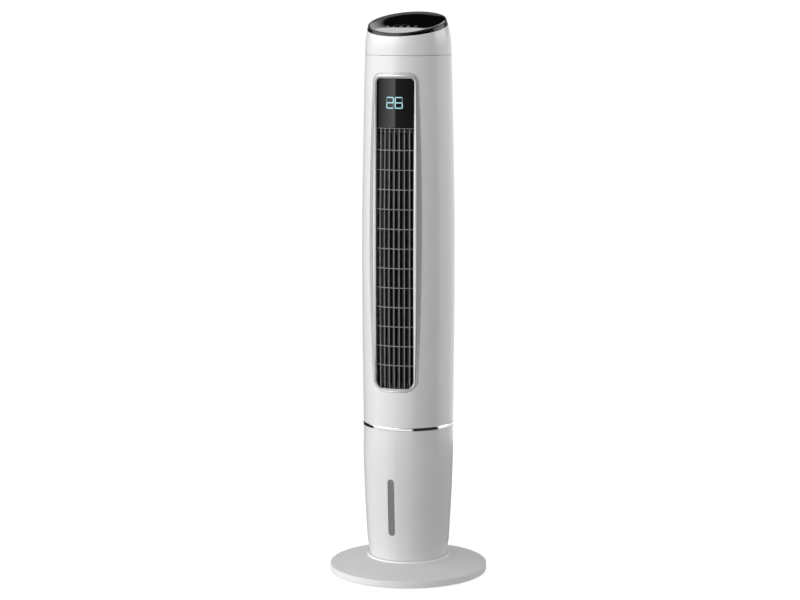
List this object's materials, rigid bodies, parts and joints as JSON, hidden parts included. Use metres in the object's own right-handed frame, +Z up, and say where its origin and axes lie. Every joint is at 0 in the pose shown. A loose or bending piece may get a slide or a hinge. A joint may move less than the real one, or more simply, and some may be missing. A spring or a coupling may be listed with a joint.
{
  "type": "evaporative cooler",
  "caption": "Tower evaporative cooler: round base, water tank that slides out at the rear, tangential fan, swinging louvers, removable rear grille and slanted touch panel.",
  "frame": {"origin": "centre of the round base, on the floor", "axes": "+Z up along the column, -Y to the front with the air outlet, +Y to the rear with the intake and the tank"},
  "size_m": [0.3, 0.3, 1.0669],
  "materials": {
    "white_casing": "high gloss white",
    "chrome_trim": "plated plastic",
    "black_gloss": "piano black",
    "smoked_window": "translucent grey",
    "grey_grille": "satin grey",
    "dark_plastic": "moulded black",
    "tank_plastic": "translucent natural",
    "white_inner": "moulded white",
    "rubber_black": "matt",
    "steel": "plain steel",
    "motor_metal": "cast",
    "circuit_board": "green solder mask",
    "led_cyan": "lit light bars",
    "pad_paper": "corrugated cellulose",
    "filter_mesh": "woven nylon mesh"
  },
  "bodies": {
    "casing": {"base_plate": "white_casing", "base_cover": "dark_plastic", "ballast_plate": "steel", "rubber_feet": "rubber_black", "base_screws": "steel", "tank_housing": "white_casing", "level_window": "smoked_window", "tank_rails": "white_inner", "mid_deck": "white_inner", "cord_gland": "rubber_black", "trim_ring": "chrome_trim", "power_board": "circuit_board", "motor_mount": "dark_plastic", "fan_motor": "motor_metal", "fan_bush": "rubber_black", "lower_end_plate": "dark_plastic", "upper_end_plate": "dark_plastic", "scroll_wall": "dark_plastic", "vortex_wall": "dark_plastic", "louver_motor": "motor_metal", "front_shell": "white_casing", "rear_shell": "white_casing", "grille_frame": "chrome_trim", "front_grille": "grey_grille", "display_window": "black_gloss", "display_board": "circuit_board", "display_digits": "led_cyan", "cooling_pad": "pad_paper", "pad_frame": "dark_plastic", "water_distributor": "white_inner", "riser_hose": "white_inner", "drip_tray": "dark_plastic", "case_screws": "steel", "head_cap": "white_casing", "head_tray": "white_inner", "control_rim": "black_gloss", "touch_panel": "black_gloss", "control_board": "circuit_board"},
    "tank": {"water_tank": "tank_plastic", "tank_lid": "tank_plastic", "tank_panel": "white_casing", "pump": "dark_plastic", "pump_strainer": "dark_plastic", "pump_tube": "white_inner"},
    "fan": {"motor_shaft": "steel", "fan_wheel": "dark_plastic", "stub_shaft": "steel"},
    "louver_a": {"louver_1": "grey_grille"},
    "louver_b": {"louver_2": "grey_grille"},
    "louver_c": {"louver_3": "grey_grille"},
    "louver_d": {"louver_4": "grey_grille"},
    "louver_e": {"louver_5": "grey_grille"},
    "louver_f": {"louver_6": "grey_grille"},
    "louver_g": {"louver_7": "grey_grille"},
    "link": {"louver_link": "dark_plastic"},
    "intake": {"rear_grille": "white_casing", "dust_filter": "filter_mesh"}
  },
  "joints": [
    {"name": "fan_spin", "type": "hinge", "parent": "casing", "child": "fan", "pos_m": [0, 0.003, 0.6], "axis": [0, 0, 1], "continuous": true},
    {"name": "louver_a_swing", "type": "hinge", "parent": "casing", "child": "louver_a", "pos_m": [-0.0306, -0.0595, 0.6], "axis": [0, 0, 1], "range_deg": [-71, 5]},
    {"name": "louver_b_swing", "type": "hinge", "parent": "casing", "child": "louver_b", "pos_m": [-0.0204, -0.0595, 0.6], "axis": [0, 0, 1], "range_deg": [-71, 5]},
    {"name": "louver_c_swing", "type": "hinge", "parent": "casing", "child": "louver_c", "pos_m": [-0.0102, -0.0595, 0.6], "axis": [0, 0, 1], "range_deg": [-71, 5]},
    {"name": "louver_d_swing", "type": "hinge", "parent": "casing", "child": "louver_d", "pos_m": [0, -0.0595, 0.6], "axis": [0, 0, 1], "range_deg": [-71, 5]},
    {"name": "louver_e_swing", "type": "hinge", "parent": "casing", "child": "louver_e", "pos_m": [0.0102, -0.0595, 0.6], "axis": [0, 0, 1], "range_deg": [-71, 5]},
    {"name": "louver_f_swing", "type": "hinge", "parent": "casing", "child": "louver_f", "pos_m": [0.0204, -0.0595, 0.6], "axis": [0, 0, 1], "range_deg": [-71, 5]},
    {"name": "louver_g_swing", "type": "hinge", "parent": "casing", "child": "louver_g", "pos_m": [0.0306, -0.0595, 0.6], "axis": [0, 0, 1], "range_deg": [-71, 5]},
    {"name": "link_slide", "type": "slide", "parent": "casing", "child": "link", "axis": [1, 0, 0], "range_m": [-0.0006, 0.0083]},
    {"name": "tank_slide", "type": "slide", "parent": "casing", "child": "tank", "axis": [0, 1, 0], "range_m": [0, 0.13]},
    {"name": "intake_slide", "type": "slide", "parent": "casing", "child": "intake", "axis": [0, 1, 0], "range_m": [0, 0.05]}
  ],
  "couplings": [
    {"joint": "louver_a_swing", "follows": "louver_d_swing", "ratio": 1},
    {"joint": "louver_b_swing", "follows": "louver_d_swing", "ratio": 1},
    {"joint": "louver_c_swing", "follows": "louver_d_swing", "ratio": 1},
    {"joint": "louver_e_swing", "follows": "louver_d_swing", "ratio": 1},
    {"joint": "louver_f_swing", "follows": "louver_d_swing", "ratio": 1},
    {"joint": "louver_g_swing", "follows": "louver_d_swing", "ratio": 1},
    {"joint": "link_slide", "follows": "louver_d_swing", "m_per_rad": -0.006685}
  ]
}
